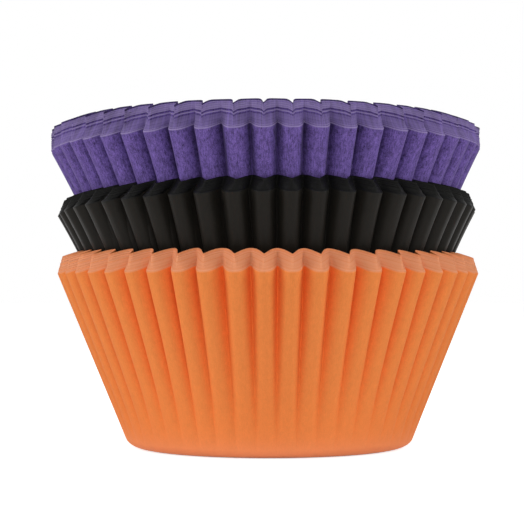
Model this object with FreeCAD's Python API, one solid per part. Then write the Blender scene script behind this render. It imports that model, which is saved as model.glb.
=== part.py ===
"""Stack of pleated paper baking cups: orange, black and purple groups, one pushed into the next.

Millimetres, +Z up. The origin is the centre of the lowest cup's flat base, where the stack stands.
Every cup is one pressed disc of paper. Its flutes start at the rounded base corner and open
towards the rim, and each cup in a group sits a little higher than the one it is nested in.
"""
import FreeCAD, Part
import functools
import math
import os
from FreeCAD import Placement, Rotation, Vector

# One cup, as the press makes it
FLUTES = 48                # pleats round the wall
BASE_RADIUS = 25.5         # where the wall's slope would meet the flat base
CORNER_SIZE = 1.8          # the base corner is cut back this far along the base and up the wall
WALL_SLANT = 34.1          # paper from the base to the rim, along a crest or along a valley
FLUTE_DEPTH = 3.1          # from the crests in to the valleys, at the rim
PAPER_RISE = 0.10          # paper thickness, measured up the stack's axis
CREST_TURN = -1.2          # degrees; puts the front crest just left of the middle

# The three groups, from the lowest up. A rim radius is to the crests of the outermost cup, a
# pitch is how much higher each cup sits than the one round it, and a lean is how much tighter
# the rim of the innermost cup is. The purple cups nest more loosely, and their rims don't lean.
ORANGE_CUPS = 20
ORANGE_RIM_RADIUS = 38.2
ORANGE_PITCH = 0.13
ORANGE_LEAN_IN = 1.1

BLACK_CUPS = 16
BLACK_RIM_RADIUS = 38.1
BLACK_PITCH = 0.13
BLACK_LEAN_IN = 1.4
BLACK_SEAT_GAP = 1.22      # between its valleys and those of the orange mouth that holds it
BLACK_TILT_BACK = 3.0      # degrees, front raised
BLACK_TILT_SIDE = 0.7      # degrees, right side raised

PURPLE_CUPS = 24
PURPLE_RIM_RADIUS = 39.0
PURPLE_PITCH = 0.16
PURPLE_SEAT_GAP = 0.77     # to the black mouth
PURPLE_TILT_BACK = 1.9
PURPLE_TILT_SIDE = 0.6

# A tipped group shifts towards its raised side. The whole shift would centre it in the mouth
# that holds it, and this share of it keeps its foot clear too.
TIP_SHIFT = 0.45


def ring(crest, valley):
    """Corner points of a closed ring, crest and valley in turn; each is (radius, height)."""
    points = []
    for number in range(2 * FLUTES):
        radius, height = valley if number % 2 else crest
        angle = number * math.pi / FLUTES
        points.append(Vector(radius * math.cos(angle), radius * math.sin(angle), height))
    return points


def wall_top(radius):
    """The rim's (radius, height), where a straight run of WALL_SLANT from the base ends."""
    return radius, math.sqrt(WALL_SLANT ** 2 - (radius - BASE_RADIUS) ** 2)


def paper_side(rim_radius, lift):
    """The base edge, the top of the rounded corner and the rim of one side of the paper."""
    crest = wall_top(rim_radius)
    valley = wall_top(rim_radius - FLUTE_DEPTH)
    share = CORNER_SIZE / WALL_SLANT
    corner_top = (BASE_RADIUS + share * (crest[0] - BASE_RADIUS), share * crest[1])
    base_edge = (BASE_RADIUS - CORNER_SIZE, 0)
    rings = ring(base_edge, base_edge), ring(corner_top, corner_top), ring(crest, valley)
    return [[point + Vector(0, 0, lift) for point in points] for points in rings]


def facet(*corners):
    """A flat face through the corner points."""
    return Part.Face(Part.makePolygon(corners + corners[:1]))


def band(lower, upper):
    """Flat four-sided faces between two rings with as many points."""
    return [facet(lower[i - 1], lower[i], upper[i], upper[i - 1]) for i in range(len(lower))]


def fluted_wall(corner, rim):
    """Panels between each crest and its two valleys, each folded once, from rim to corner."""
    faces = []
    for crest in range(0, len(rim), 2):
        for valley in (crest - 1, crest + 1):
            faces.append(facet(corner[crest], corner[valley], rim[crest]))
            faces.append(facet(corner[valley], rim[valley], rim[crest]))
    return faces


@functools.lru_cache(maxsize=None)
def cup(rim_radius):
    """One paper cup as a closed solid: its outer side, its inner side and its cut rim."""
    outer = paper_side(rim_radius, 0)
    inner = paper_side(rim_radius, PAPER_RISE)
    faces = band(outer[2], inner[2])
    for base, corner, rim in (outer, inner):
        faces.append(facet(*base))
        faces.extend(band(base, corner))
        faces.extend(fluted_wall(corner, rim))
    shell = Part.Shell(faces)
    shell.sewShape()
    solid = Part.Solid(Part.Shell(shell.Faces))
    if solid.Volume < 0:
        solid.reverse()
    return solid


def tilt(back, side):
    """The turn of a group that is tipped back and to the side, with its crests in their place."""
    tipped = Rotation(Vector(0, 1, 0), -side).multiply(Rotation(Vector(1, 0, 0), -back))
    return tipped.multiply(Rotation(Vector(0, 0, 1), CREST_TURN))


def mouth(cups, rim_radius, pitch, lean_in):
    """The (radius, height) of the innermost rim's valleys, which a group above rests in."""
    radius, height = wall_top(rim_radius - lean_in - FLUTE_DEPTH)
    return radius, height + (cups - 1) * pitch + PAPER_RISE


def seat(below, mouth_below, rim_radius, gap, turn):
    """Sink a group into the mouth below until its valleys stand a gap inside that mouth's."""
    mouth_radius, mouth_height = mouth_below
    valley_radius, valley_height = wall_top(rim_radius - FLUTE_DEPTH)
    slope = (valley_radius - BASE_RADIUS) / valley_height
    sunk = (mouth_radius - BASE_RADIUS - gap) / slope
    axis = below.Rotation.inverted().multVec(turn.multVec(Vector(0, 0, 1)))
    tip = Vector(axis.x / axis.z, axis.y / axis.z, 0)
    crossing = Vector(0, 0, mouth_height) - tip * (TIP_SHIFT * mouth_radius * slope)
    return Placement(below.multVec(crossing - (tip + Vector(0, 0, 1)) * sunk), turn)


def write_group(colour, cups, rim_radius, pitch, lean_in, place):
    """Nest one colour's cups, put the group in its place and write each cup as its own piece."""
    for number in range(cups):
        tighter = lean_in * number / (cups - 1)
        lift = Placement(Vector(0, 0, number * pitch), Rotation())
        solid = cup(rim_radius - tighter).copy()
        solid.Placement = place.multiply(lift)
        name = "%s_liner_%02d" % (colour, number + 1)
        solid.exportStep("parts/%s.step" % name)
        print(name, round(solid.Volume, 1), solid.isValid())


os.makedirs("parts", exist_ok=True)

orange_place = Placement(Vector(0, 0, 0), tilt(0, 0))
orange_mouth = mouth(ORANGE_CUPS, ORANGE_RIM_RADIUS, ORANGE_PITCH, ORANGE_LEAN_IN)
write_group("orange", ORANGE_CUPS, ORANGE_RIM_RADIUS, ORANGE_PITCH, ORANGE_LEAN_IN, orange_place)

black_turn = tilt(BLACK_TILT_BACK, BLACK_TILT_SIDE)
black_place = seat(orange_place, orange_mouth, BLACK_RIM_RADIUS, BLACK_SEAT_GAP, black_turn)
black_mouth = mouth(BLACK_CUPS, BLACK_RIM_RADIUS, BLACK_PITCH, BLACK_LEAN_IN)
write_group("black", BLACK_CUPS, BLACK_RIM_RADIUS, BLACK_PITCH, BLACK_LEAN_IN, black_place)

purple_turn = tilt(PURPLE_TILT_BACK, PURPLE_TILT_SIDE)
purple_place = seat(black_place, black_mouth, PURPLE_RIM_RADIUS, PURPLE_SEAT_GAP, purple_turn)
write_group("purple", PURPLE_CUPS, PURPLE_RIM_RADIUS, PURPLE_PITCH, 0, purple_place)

print("black seat", black_place.Base, "purple seat", purple_place.Base)
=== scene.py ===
import bpy
import math
import numpy as np
from mathutils import Euler, Matrix, Vector


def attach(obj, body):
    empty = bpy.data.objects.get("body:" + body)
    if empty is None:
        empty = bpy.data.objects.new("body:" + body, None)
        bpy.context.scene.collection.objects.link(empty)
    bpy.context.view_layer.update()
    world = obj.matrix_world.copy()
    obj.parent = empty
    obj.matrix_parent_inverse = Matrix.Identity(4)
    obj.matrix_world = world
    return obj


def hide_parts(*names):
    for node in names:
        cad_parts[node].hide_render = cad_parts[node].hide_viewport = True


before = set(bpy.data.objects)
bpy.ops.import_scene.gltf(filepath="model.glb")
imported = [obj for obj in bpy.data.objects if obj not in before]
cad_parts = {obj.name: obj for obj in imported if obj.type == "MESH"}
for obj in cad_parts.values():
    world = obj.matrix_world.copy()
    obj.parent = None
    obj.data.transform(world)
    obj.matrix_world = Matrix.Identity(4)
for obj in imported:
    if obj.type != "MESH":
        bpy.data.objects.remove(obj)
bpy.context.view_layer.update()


# Orange cups: the lowest group, thin greaseproof paper dyed through. Each cup is one flat disc that
# a fluted die presses into a tray shape, so its pleats begin at the rounded base corner, and the
# disc's cut edge becomes the wavy rim. Twenty lie inside each other, and the lowest one stands.
MM = 0.001
FLUTES = 48
BASE_RADIUS = 25.5
CORNER_LENGTH = 6.5
CORNER_BUILD_UP = 3
CORNER_STEPS = 160
SLANT = 34.1
FLUTE_DEPTH = 3.05
FLUTE_GROWTH = 1.2
FOLD_NARROWNESS = 1.9
BASE_LIGHT_LENGTH = 1.6
CRESTS_TURN = math.radians(-1.2)
RIM_ROW = 0.16
FOLD_SOFTNESS = 0.05

ORANGE_CUPS = 20
ORANGE_RIM_RADIUS = 38.3
ORANGE_LEAN_IN = 0.9
ORANGE_PITCH = 0.13


def flute_wave(phase, inward, breadths):
    """Share of the flute's depth, 1 on a crest and 0 in a valley.

    The outermost cup follows 1 - (1 - |cos(phase / 2)|) ^ breadth, broad crests over narrow creases.
    The innermost follows (1 - |sin(phase / 2)|) ^ breadth, the reverse, and the cups between blend
    the two. Each fold is rounded: |x| becomes sqrt(x * x + softness * softness).
    """
    top = math.sqrt(1 + FOLD_SOFTNESS ** 2) - FOLD_SOFTNESS
    cosine = (np.sqrt(np.cos(phase / 2) ** 2 + FOLD_SOFTNESS ** 2) - FOLD_SOFTNESS) / top
    sine = (np.sqrt(np.sin(phase / 2) ** 2 + FOLD_SOFTNESS ** 2) - FOLD_SOFTNESS) / top
    crest = 1 - (1 - cosine) ** breadths[0]
    valley = (1 - sine) ** breadths[1]
    return (1 - inward) * crest + inward * valley


def smooth_step(value):
    """0 below 0, 1 above 1, and 3 v^2 - 2 v^3 between."""
    value = np.clip(value, 0, 1)
    return value * value * (3 - 2 * value)


def hand_pressed(seed, depth_spread, turn_spread):
    """Each flute's own depth and turn, blended round the circle, because no two pleats match."""
    random = np.random.default_rng(seed)
    depth = 1 + depth_spread * random.uniform(-1, 1, FLUTES)
    turn_low = turn_spread * random.uniform(-1, 1, FLUTES)
    turn_high = turn_spread * random.uniform(-1, 1, FLUTES)
    return depth, turn_low, turn_high


def round_circle(values, azimuth):
    """The flutes' values at any azimuth, each held over its crest and blended in the creases."""
    place = azimuth / (2 * np.pi) * FLUTES
    left = np.floor(place).astype(int) % FLUTES
    share = smooth_step((place - np.floor(place)) * 1.6 - 0.3)
    return values[left] * (1 - share) + values[(left + 1) % FLUTES] * share


def cup_side(even, rows_of, shape, layer, inward, trim):
    """One side of a pressed disc as rows of points, from the middle of the base up to the rim.

    The profile is a flat base, a corner and a straight wall. The paper turns up through the corner
    by the wall's whole angle times u ^ 3, u from 0 to 1 along it, and the running sums of the cosine
    and the sine of that angle give its radius and height. A wall point at the distance l along the
    paper lies at radius 25.5 + l sin(flare) plus the bow, less the flute's depth times one minus
    its wave, and at the height sqrt(l^2 - (radius - 25.5)^2), so the paper keeps its length and the
    rim rises in the creases. The depth grows as l ^ 1.2. The pleats stand a little closer at the
    front: the azimuth is the even one less the crowding times its cosine. The crowding and the turn
    change from the outermost cup's to the innermost's, which follows the group that stands in it.
    """
    crowding, turn = [first * (1 - inward) + last * inward for first, last in (shape["crowding"], shape["turn"])]
    azimuth = even + turn - crowding * np.cos(even)
    flare = np.arcsin((shape["rim"] - shape["lean"] * inward - BASE_RADIUS) / SLANT)
    base_rows, bend_rows, wall_rows = rows_of
    angle = (math.pi / 2 - flare) * ((np.arange(CORNER_STEPS) + 0.5) / CORNER_STEPS) ** CORNER_BUILD_UP
    out = np.cumsum(np.cos(angle)) * CORNER_LENGTH / CORNER_STEPS
    up = np.cumsum(np.sin(angle)) * CORNER_LENGTH / CORNER_STEPS
    corner = up[-1] / math.cos(flare)
    flat = BASE_RADIUS + corner * math.sin(flare) - out[-1]
    base_radii = np.linspace(0, flat, base_rows + 1)
    picked = np.round(CORNER_STEPS * np.sqrt(np.arange(1, bend_rows + 1) / bend_rows)).astype(int) - 1
    bend_share = (picked + 1) / CORNER_STEPS
    reach = SLANT + trim
    share = np.linspace(0, 1, wall_rows)[1:] ** 1.15
    along = corner + (reach - RIM_ROW - corner) * share[:, None]
    along = np.vstack([along, np.broadcast_to(reach, (1, len(azimuth)))])
    rows = len(base_radii) + bend_rows + len(along)

    radius = np.empty((rows, len(azimuth)))
    height = np.empty_like(radius)
    paper = np.empty_like(radius)
    slant = np.empty_like(radius)
    end = len(base_radii)
    radius[:end] = base_radii[:, None]
    height[:end] = 0
    paper[:end] = base_radii[:, None]
    slant[:end] = 0
    elbow = end + bend_rows
    radius[end:elbow] = (flat + out[picked])[:, None]
    height[end:elbow] = up[picked][:, None]
    paper[end:elbow] = (flat + CORNER_LENGTH * bend_share)[:, None]
    slant[end:elbow] = (corner * bend_share ** CORNER_BUILD_UP)[:, None]
    radius[elbow:] = BASE_RADIUS + along * math.sin(flare)
    height[elbow:] = along * math.cos(flare)
    paper[elbow:] = flat + CORNER_LENGTH + along - corner
    slant[elbow:] = along

    depth, turn_low, turn_high = shape["pleats"]
    rise = slant / SLANT
    sway = round_circle(turn_low, even) * (1 - rise) + round_circle(turn_high, even) * rise
    wave = flute_wave(FLUTES * (even + sway), inward, shape["breadths"])
    deep = FLUTE_DEPTH * rise ** FLUTE_GROWTH * smooth_step(slant / 3) * round_circle(depth, even)
    radius = radius + shape["bow"] * 4 * rise * (1 - rise) - deep * (1 - wave)
    kept = np.sqrt(np.maximum(slant ** 2 - (radius - BASE_RADIUS) ** 2, 0))
    height = height + (kept - height) * smooth_step((slant - corner) / 6)
    across, deep_in = radius * np.cos(azimuth), radius * np.sin(azimuth)
    tip_back, tip_side = [first * (1 - inward) + last * inward for first, last in zip(*shape["tips"])]
    height = height + layer + across * math.tan(tip_side) - deep_in * math.tan(tip_back)
    points = np.stack([across + shape["drift"] * rise, deep_in, height], axis=2)
    disc = np.stack([paper * np.cos(azimuth), paper * np.sin(azimuth)], axis=2)
    started = rise * smooth_step(slant / 8)
    # Painted light on the base corner, strongest at the foot of the wall and fading upwards.
    painted_base_light = shape["painted_base_light"] * np.exp(-slant / BASE_LIGHT_LENGTH) * smooth_step((paper - flat) / 1.5)
    # Painted shade: the fourth and fifth values darken the creases and the crests through the fold colour.
    return points, disc, (1 - wave) ** FOLD_NARROWNESS * started, wave ** FOLD_NARROWNESS * started, painted_base_light


def cup_mesh(name, columns_a_flute, rows_of, shape, number, place):
    """A closed cup: its outer side up to the rim, then its inner side down, with a pole at each end.

    The columns crowd to the folds: the phase 2 pi u becomes 2 pi u - 0.33 sin(4 pi u).
    """
    step = np.arange(FLUTES * columns_a_flute) / columns_a_flute
    even = (2 * np.pi * step - 0.33 * np.sin(4 * np.pi * step)) / FLUTES
    random = np.random.default_rng(shape["seed"] * 100 + number)
    off_centre = shape["uneven"] * random.uniform(0.3, 1)
    trim = shape["uneven"] * random.uniform(-0.6, 0.6) + off_centre * np.cos(
        even - random.uniform(0, 2 * np.pi))
    sides = []
    loose = sum(gap for first, gap in shape["loose"] if number >= first)
    for level in (number, number + shape["paper"]):
        inward = level / (shape["cups"] - 1 + shape["paper"])
        layer = shape["pitch"] * level + loose
        sides.append(cup_side(even, rows_of, shape, layer, inward, trim))
    points = np.concatenate([sides[0][0], sides[1][0][::-1]])
    disc = np.concatenate([sides[0][1], sides[1][1][::-1]])
    # Painted shade: the outermost third of a group has its creases darkened, the innermost third its crests.
    outside = max(0, 1 - 3 * number / shape["cups"])
    inside = max(0, 3 * (number + 1) / shape["cups"] - 2)
    fold = np.concatenate([outside * sides[0][2], inside * sides[1][3][::-1]])
    rows, columns = points.shape[:2]
    edge = np.zeros((rows, columns))
    # Painted light: the lowest orange cup's outer side is paler at its base corner, where light from the floor
    # would fall.
    if number == 0:
        edge[:rows // 2] = sides[0][4]
    rim_pale_or_shade = shape["pale"](number, random)
    # A pale rim mixes in the edge colour; below 0 the rim gets painted shade through the fold colour.
    edge[rows // 2 - 1:rows // 2 + 1] = max(rim_pale_or_shade, 0)
    fold[rows // 2 - 1:rows // 2 + 1] += max(-rim_pale_or_shade, 0)

    inner = slice(1, rows - 1)
    corners = np.concatenate([points[0, :1], points[inner].reshape(-1, 3), points[-1, :1]])
    flat_disc = np.concatenate([disc[0, :1], disc[inner].reshape(-1, 2), disc[-1, :1]])
    rim = np.concatenate([[0], edge[inner].ravel(), [0]])
    folds = np.concatenate([[0], fold[inner].ravel(), [0]])
    last = len(corners) - 1
    here = 1 + np.arange((rows - 2) * columns).reshape(rows - 2, columns)
    beside = np.roll(here, -1, axis=1)
    quads = np.stack([here[:-1], beside[:-1], beside[1:], here[1:]], axis=2).reshape(-1, 4)
    first_fan = np.stack([np.zeros(columns, int), beside[0], here[0]], axis=1)
    last_fan = np.stack([here[-1], beside[-1], np.full(columns, last)], axis=1)
    loops = np.concatenate([quads.ravel(), first_fan.ravel(), last_fan.ravel()])
    sizes = np.concatenate([np.full(len(quads), 4), np.full(2 * columns, 3)])

    mesh = bpy.data.meshes.new(name)
    mesh.vertices.add(len(corners))
    mesh.loops.add(len(loops))
    mesh.polygons.add(len(sizes))
    mesh.vertices.foreach_set("co", (corners * MM).astype(np.float32).ravel())
    mesh.loops.foreach_set("vertex_index", loops.astype(np.int32))
    mesh.polygons.foreach_set("loop_start", np.concatenate([[0], np.cumsum(sizes)[:-1]]).astype(np.int32))
    mesh.polygons.foreach_set("use_smooth", np.ones(len(sizes), bool))
    mesh.update(calc_edges=True)
    uv = mesh.uv_layers.new(name="disc")
    uv.data.foreach_set("uv", (flat_disc[loops] * MM).astype(np.float32).ravel())
    edge_and_base_light_values = mesh.attributes.new("cut_edge_and_base_light", "FLOAT", "POINT")
    edge_and_base_light_values.data.foreach_set("value", rim.astype(np.float32))
    fold_shade_layer = mesh.attributes.new("fold", "FLOAT", "POINT")
    fold_shade_layer.data.foreach_set("value", folds.astype(np.float32))
    mesh.transform(place)
    mesh.validate()
    return mesh


def paper_material(name, colour, mottle, fold_shade_colour, edge_and_base_light_colour, roughness, specular, grain, sheen=0.0):
    """Thin dyed paper: fibres clouded in the flat disc, pressed streaks and its own cut edge.

    Down in the folds the colour is multiplied by the fold colour, painted shade where the creases fall dark, and
    the paper is rougher there.
    """
    material = bpy.data.materials.new(name)
    material.use_nodes = True
    nodes, links = material.node_tree.nodes, material.node_tree.links
    shader = nodes["Principled BSDF"]
    shader.inputs["Specular IOR Level"].default_value = specular
    shader.inputs["Sheen Weight"].default_value = sheen
    shader.inputs["Sheen Roughness"].default_value = 0.35
    disc = nodes.new("ShaderNodeUVMap")
    disc.uv_map = "disc"

    clouds = nodes.new("ShaderNodeTexNoise")
    clouds.inputs["Scale"].default_value = 700
    clouds.inputs["Detail"].default_value = 5
    clouds.inputs["Roughness"].default_value = 0.65
    links.new(disc.outputs["UV"], clouds.inputs["Vector"])
    fibres = nodes.new("ShaderNodeTexNoise")
    fibres.inputs["Scale"].default_value = 3600
    fibres.inputs["Detail"].default_value = 4
    fibres.inputs["Roughness"].default_value = 0.7
    fibres.inputs["Distortion"].default_value = 1.5
    links.new(disc.outputs["UV"], fibres.inputs["Vector"])

    outward = nodes.new("ShaderNodeVectorMath")
    outward.operation = "NORMALIZE"
    links.new(disc.outputs["UV"], outward.inputs[0])
    direction = nodes.new("ShaderNodeSeparateXYZ")
    links.new(outward.outputs["Vector"], direction.inputs["Vector"])
    distance = nodes.new("ShaderNodeVectorMath")
    distance.operation = "LENGTH"
    links.new(disc.outputs["UV"], distance.inputs[0])
    shortened = nodes.new("ShaderNodeMath")
    shortened.operation = "MULTIPLY"
    shortened.inputs[1].default_value = 4.5
    links.new(distance.outputs["Value"], shortened.inputs[0])
    stretched = nodes.new("ShaderNodeCombineXYZ")
    links.new(direction.outputs["X"], stretched.inputs["X"])
    links.new(direction.outputs["Y"], stretched.inputs["Y"])
    links.new(shortened.outputs[0], stretched.inputs["Z"])
    streaks = nodes.new("ShaderNodeTexNoise")
    streaks.inputs["Scale"].default_value = 250
    streaks.inputs["Detail"].default_value = 3
    links.new(stretched.outputs["Vector"], streaks.inputs["Vector"])

    tone = nodes.new("ShaderNodeMath")
    tone.operation = "MULTIPLY_ADD"
    tone.inputs[1].default_value = 0.25
    links.new(clouds.outputs["Fac"], tone.inputs[0])
    fine = nodes.new("ShaderNodeMath")
    fine.operation = "MULTIPLY_ADD"
    fine.inputs[1].default_value = 0.45
    links.new(fibres.outputs["Fac"], fine.inputs[0])
    line = nodes.new("ShaderNodeMath")
    line.operation = "MULTIPLY"
    line.inputs[1].default_value = 0.3
    links.new(streaks.outputs["Fac"], line.inputs[0])
    links.new(line.outputs[0], fine.inputs[2])
    links.new(fine.outputs[0], tone.inputs[2])

    ramp = nodes.new("ShaderNodeValToRGB")
    ramp.color_ramp.elements[0].position = 0.40
    ramp.color_ramp.elements[0].color = [*(channel * (1 - mottle) for channel in colour), 1]
    ramp.color_ramp.elements[1].position = 0.60
    ramp.color_ramp.elements[1].color = [*(min(channel * (1 + mottle), 1) for channel in colour), 1]
    links.new(tone.outputs[0], ramp.inputs["Fac"])

    # Painted shade: the fold attribute multiplies the colour by the fold colour in the creases and crests.
    fold = nodes.new("ShaderNodeAttribute")
    fold.attribute_name = "fold"
    pressed = nodes.new("ShaderNodeMix")
    pressed.data_type = "RGBA"
    pressed.blend_type = "MULTIPLY"
    pressed.inputs["B"].default_value = [*fold_shade_colour, 1]
    links.new(fold.outputs["Fac"], pressed.inputs["Factor"])
    links.new(ramp.outputs["Color"], pressed.inputs["A"])
    dull = nodes.new("ShaderNodeMapRange")
    dull.inputs["To Min"].default_value = roughness
    dull.inputs["To Max"].default_value = 0.95
    links.new(fold.outputs["Fac"], dull.inputs["Value"])
    links.new(dull.outputs["Result"], shader.inputs["Roughness"])

    # The edge attribute mixes in the edge colour: the paper's paler cut edges, and painted light on the lowest
    # orange cup's base corner.
    cut = nodes.new("ShaderNodeAttribute")
    cut.attribute_name = "cut_edge_and_base_light"
    mix = nodes.new("ShaderNodeMix")
    mix.data_type = "RGBA"
    mix.inputs["B"].default_value = [*edge_and_base_light_colour, 1]
    links.new(cut.outputs["Fac"], mix.inputs["Factor"])
    links.new(pressed.outputs["Result"], mix.inputs["A"])
    links.new(mix.outputs["Result"], shader.inputs["Base Color"])

    bump = nodes.new("ShaderNodeBump")
    bump.inputs["Strength"].default_value = grain
    bump.inputs["Distance"].default_value = 0.00008
    links.new(tone.outputs[0], bump.inputs["Height"])
    links.new(bump.outputs["Normal"], shader.inputs["Normal"])
    return material


def fineness(away):
    """Columns in a flute, and rows of the base, the corner and the wall, for a cup so many cups away
    from one whose wall shows. Close ones are nearly as fine, so that none cuts through another."""
    if away == 0:
        return 16, (3, 8, 22)
    return (16, (1, 4, 8)) if away < 4 else (12, (1, 2, 3))


def nest_cups(colour, shape, place, material):
    """Every cup of one colour, each as fine as its place in the stack needs."""
    for number in range(shape["cups"]):
        node = f"{colour}_liner_{number + 1:02d}"
        columns, rows = fineness(min(abs(number - shown) for shown in shape["shown"]))
        mesh = cup_mesh(node, columns, rows, shape, number, place)
        mesh.materials.append(material)
        cup = bpy.data.objects.new(f"{colour}_cup_{number + 1:02d}", mesh)
        bpy.context.scene.collection.objects.link(cup)
        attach(cup, "root")
        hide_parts(node)


def group_place(foot, tilt_back, tilt_side):
    """Where a group stands: its crests turned, then tipped back and to the side about its foot."""
    tipped = Matrix.Rotation(math.radians(-tilt_side), 4, "Y") @ Matrix.Rotation(
        math.radians(-tilt_back), 4, "X")
    return Matrix.Translation(Vector(foot) * MM) @ tipped @ Matrix.Rotation(CRESTS_TURN, 4, "Z")


orange_shape = {
    "cups": ORANGE_CUPS, "rim": ORANGE_RIM_RADIUS, "lean": ORANGE_LEAN_IN, "pitch": ORANGE_PITCH,
    "bow": 0.0, "drift": -0.25, "tips": np.radians([[0, 0], [0, -0.3]]), "breadths": (1.55, 1.1),
    "pleats": hand_pressed(11, 0.06, math.radians(0.35)), "seed": 11, "uneven": 0.04,
    "crowding": np.radians([1.6, 0.6]), "turn": (0, 0), "painted_base_light": 1.0,
    "paper": 0.92, "loose": (), "shown": (0,), "pale": lambda number, random: random.uniform(0.45, 1),
}
# The fold colour paints shade into the creases; the edge colour gives the paler cut edges and also the painted
# light on the base corner.
orange_paper = paper_material("orange_paper", (0.92, 0.275, 0.066), 0.06, (1, 0.7, 0.5), (1, 0.42, 0.23), 0.75, 0.2, 0.5)
nest_cups("orange", orange_shape, group_place((0, 0, 0), 0, 0), orange_paper)


# Black cups: the middle group, the same paper with a satin calendered face. It is pushed into the
# orange mouth until its wall wedges there, a little tipped back with its left side lower.
BLACK_CUPS = 16
BLACK_RIM_RADIUS = 38.0
BLACK_LEAN_IN = 1.1
BLACK_PITCH = 0.155
BLACK_FOOT = (0.37, -1.60, 10.51)
BLACK_TILT_BACK = 3.0
BLACK_TILT_SIDE = 0.7
PURPLE_TURN = math.radians(0.6)
PURPLE_CROWDING = math.radians(1.9)

black_shape = {
    "cups": BLACK_CUPS, "rim": BLACK_RIM_RADIUS, "lean": BLACK_LEAN_IN, "pitch": BLACK_PITCH,
    "bow": -1.1, "drift": -0.45, "tips": np.radians([[0.65, 0.15], [-0.3, 0.25]]), "breadths": (1.7, 0.7),
    "pleats": hand_pressed(11, 0.07, math.radians(0.35)), "seed": 23, "uneven": 0.06,
    "crowding": (0, PURPLE_CROWDING), "turn": (0, PURPLE_TURN), "painted_base_light": 0.0,
    "paper": 0.85, "loose": (), "shown": (0,), "pale": lambda number, random: 1.0,
}
# The fold colour halves the black paper's colour in the folds as painted shade.
black_paper = paper_material("black_paper", (0.0095, 0.0082, 0.0062), 0.18, (0.5, 0.5, 0.5), (0.0018, 0.0019, 0.0014), 0.5, 0.13, 0.4)
nest_cups("black", black_shape, group_place(BLACK_FOOT, BLACK_TILT_BACK, BLACK_TILT_SIDE),
          black_paper)


# Purple cups: the top group, a soft fibrous paper whose cut edges look paler than its face. It sits
# in the black mouth, tipped back less, and its innermost cup is open for the batter.
PURPLE_CUPS = 24
PURPLE_RIM_RADIUS = 39.1
PURPLE_PITCH = 0.133
PURPLE_FOOT = (0.16, -0.37, 22.62)
PURPLE_TILT_BACK = 1.9
PURPLE_TILT_SIDE = 0.6

LOOSE_CUP = 13
LOOSE_GAP = 0.18


def purple_rims(number, random):
    """How pale each rim looks: the lowest and the loose cup's most. Below 0 adds painted shade through the fold
    colour instead: on the rims each side of the loose cup's gap, and darker rims on the top two."""
    looks = {0: 1.0, 2: 0.9, LOOSE_CUP - 1: -0.3, LOOSE_CUP: 1.0, LOOSE_CUP + 1: -0.7}
    looks.update({PURPLE_CUPS - 2: -0.9, PURPLE_CUPS - 1: -1.0})
    drawn = random.uniform(0.2, 0.55) if number < LOOSE_CUP else random.uniform(0.5, 0.9)
    return looks.get(number, drawn)


purple_shape = {
    "cups": PURPLE_CUPS, "rim": PURPLE_RIM_RADIUS, "lean": 0.0, "pitch": PURPLE_PITCH,
    "bow": -0.6, "drift": -0.5, "tips": np.radians([[-0.25, 0], [0.35, -0.35]]), "breadths": (1.75, 5.0),
    "pleats": hand_pressed(11, 0.06, math.radians(0.35)), "seed": 37, "uneven": 0.05,
    "crowding": (PURPLE_CROWDING, PURPLE_CROWDING), "turn": (PURPLE_TURN, PURPLE_TURN), "painted_base_light": 0.0,
    "paper": 0.7, "loose": ((LOOSE_CUP, LOOSE_GAP), (LOOSE_CUP + 1, LOOSE_GAP)),
    "shown": (0, PURPLE_CUPS - 1), "pale": purple_rims,
}
# The fold colour darkens the purple folds and the shaded rims as painted shade.
purple_paper = paper_material("purple_paper", (0.145, 0.092, 0.325), 0.62, (0.22, 0.18, 0.28), (0.32, 0.25, 0.49), 0.8, 0.2, 0.8, 0.06)
nest_cups("purple", purple_shape,
          group_place(PURPLE_FOOT, PURPLE_TILT_BACK, PURPLE_TILT_SIDE),
          purple_paper)


# The room: a pale floor that meets a white surround, soft light from both sides and the front, and
# the camera level with the orange wall's upper half, as the photograph was taken.
def seen_ray(nodes, links):
    """1 on the camera's own rays and those that a shiny or clear surface sends on, 0 on the rest."""
    ray = nodes.new("ShaderNodeLightPath")
    total = ray.outputs["Is Camera Ray"]
    for other in ("Is Glossy Ray", "Is Transmission Ray"):
        larger = nodes.new("ShaderNodeMath")
        larger.operation = "MAXIMUM"
        links.new(total, larger.inputs[0])
        links.new(ray.outputs[other], larger.inputs[1])
        total = larger.outputs[0]
    return total


def floor_material():
    """A pale floor that shows white to the camera and still takes the object's shadow."""
    material = bpy.data.materials.new("pale_floor")
    material.use_nodes = True
    nodes, links = material.node_tree.nodes, material.node_tree.links
    output = nodes["Material Output"]
    shader = nodes["Principled BSDF"]
    shader.inputs["Base Color"].default_value = (0.93, 0.93, 0.93, 1)
    shader.inputs["Roughness"].default_value = 0.9
    glow = nodes.new("ShaderNodeEmission")
    links.new(seen_ray(nodes, links), glow.inputs["Strength"])
    both = nodes.new("ShaderNodeAddShader")
    links.new(shader.outputs[0], both.inputs[0])
    links.new(glow.outputs[0], both.inputs[1])
    links.new(both.outputs[0], output.inputs["Surface"])
    glow.inputs["Color"].default_value = (0.74, 0.74, 0.74, 1)
    return material


FLOOR_SIZE = 6.0
floor_mesh = bpy.data.meshes.new("floor")
half = FLOOR_SIZE / 2
floor_mesh.from_pydata([(-half, -half, 0), (half, -half, 0), (half, half, 0), (-half, half, 0)], [], [(0, 1, 2, 3)])
floor_mesh.materials.append(floor_material())
floor = bpy.data.objects.new("floor", floor_mesh)
bpy.context.scene.collection.objects.link(floor)

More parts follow.
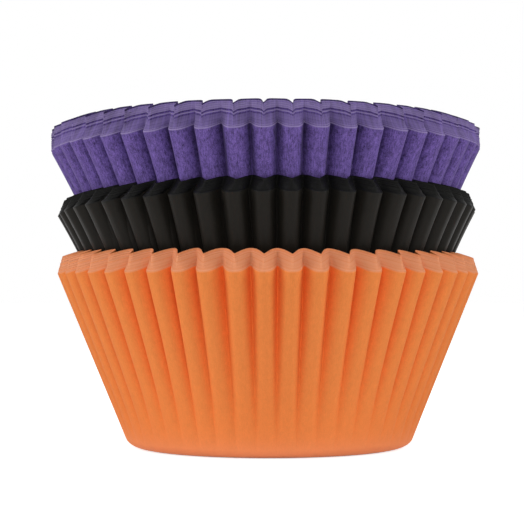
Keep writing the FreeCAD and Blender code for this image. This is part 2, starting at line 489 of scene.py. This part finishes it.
world = bpy.data.worlds.new("white_room")
bpy.context.scene.world = world
world.use_nodes = True
nodes, links = world.node_tree.nodes, world.node_tree.links
sky = nodes["Background"]
seen = nodes.new("ShaderNodeMapRange")
seen.inputs["To Min"].default_value = 0.22
seen.inputs["To Max"].default_value = 1.0
links.new(seen_ray(nodes, links), seen.inputs["Value"])
links.new(seen.outputs["Result"], sky.inputs["Strength"])
sky.inputs["Color"].default_value = (1, 1, 1, 1)


def soft_box(name, place, aim, size, watts):
    """A square area lamp that points at a target."""
    lamp = bpy.data.lights.new(name, "AREA")
    lamp.size = size
    lamp.energy = watts
    holder = bpy.data.objects.new(name, lamp)
    holder.location = place
    holder.rotation_euler = (Vector(aim) - Vector(place)).to_track_quat("-Z", "Y").to_euler()
    bpy.context.scene.collection.objects.link(holder)


MIDDLE = (0, 0, 0.03)
soft_box("left_softbox", (-0.66, -0.18, 0.36), MIDDLE, 0.4, 2.2)
soft_box("right_softbox", (0.66, -0.18, 0.36), MIDDLE, 0.4, 1.85)
soft_box("front_softbox", (0.0, -0.8, 0.38), MIDDLE, 0.5, 1.35)
soft_box("low_softbox", (0.0, -0.6, 0.02), MIDDLE, 0.3, 0.55)

PHOTO_SIZE = 524
FOCAL_PIXELS = 1747
CAMERA_AWAY = 0.320
CAMERA_HEIGHT = 0.029
STACK_MIDDLE_PIXEL = 269.5
HORIZON_PIXEL = 288
camera = bpy.data.cameras.new("camera")
camera.sensor_width = 36
camera.lens = camera.sensor_width * FOCAL_PIXELS / PHOTO_SIZE
camera.shift_x = (PHOTO_SIZE / 2 - STACK_MIDDLE_PIXEL) / PHOTO_SIZE
camera.shift_y = (HORIZON_PIXEL - PHOTO_SIZE / 2) / PHOTO_SIZE
camera.clip_start = 0.01
camera_object = bpy.data.objects.new("camera", camera)
camera_object.location = (0, -CAMERA_AWAY, CAMERA_HEIGHT)
camera_object.rotation_euler = Euler((math.pi / 2, 0, 0))
bpy.context.scene.collection.objects.link(camera_object)
bpy.context.scene.camera = camera_object
bpy.context.scene.view_settings.view_transform = "Standard"
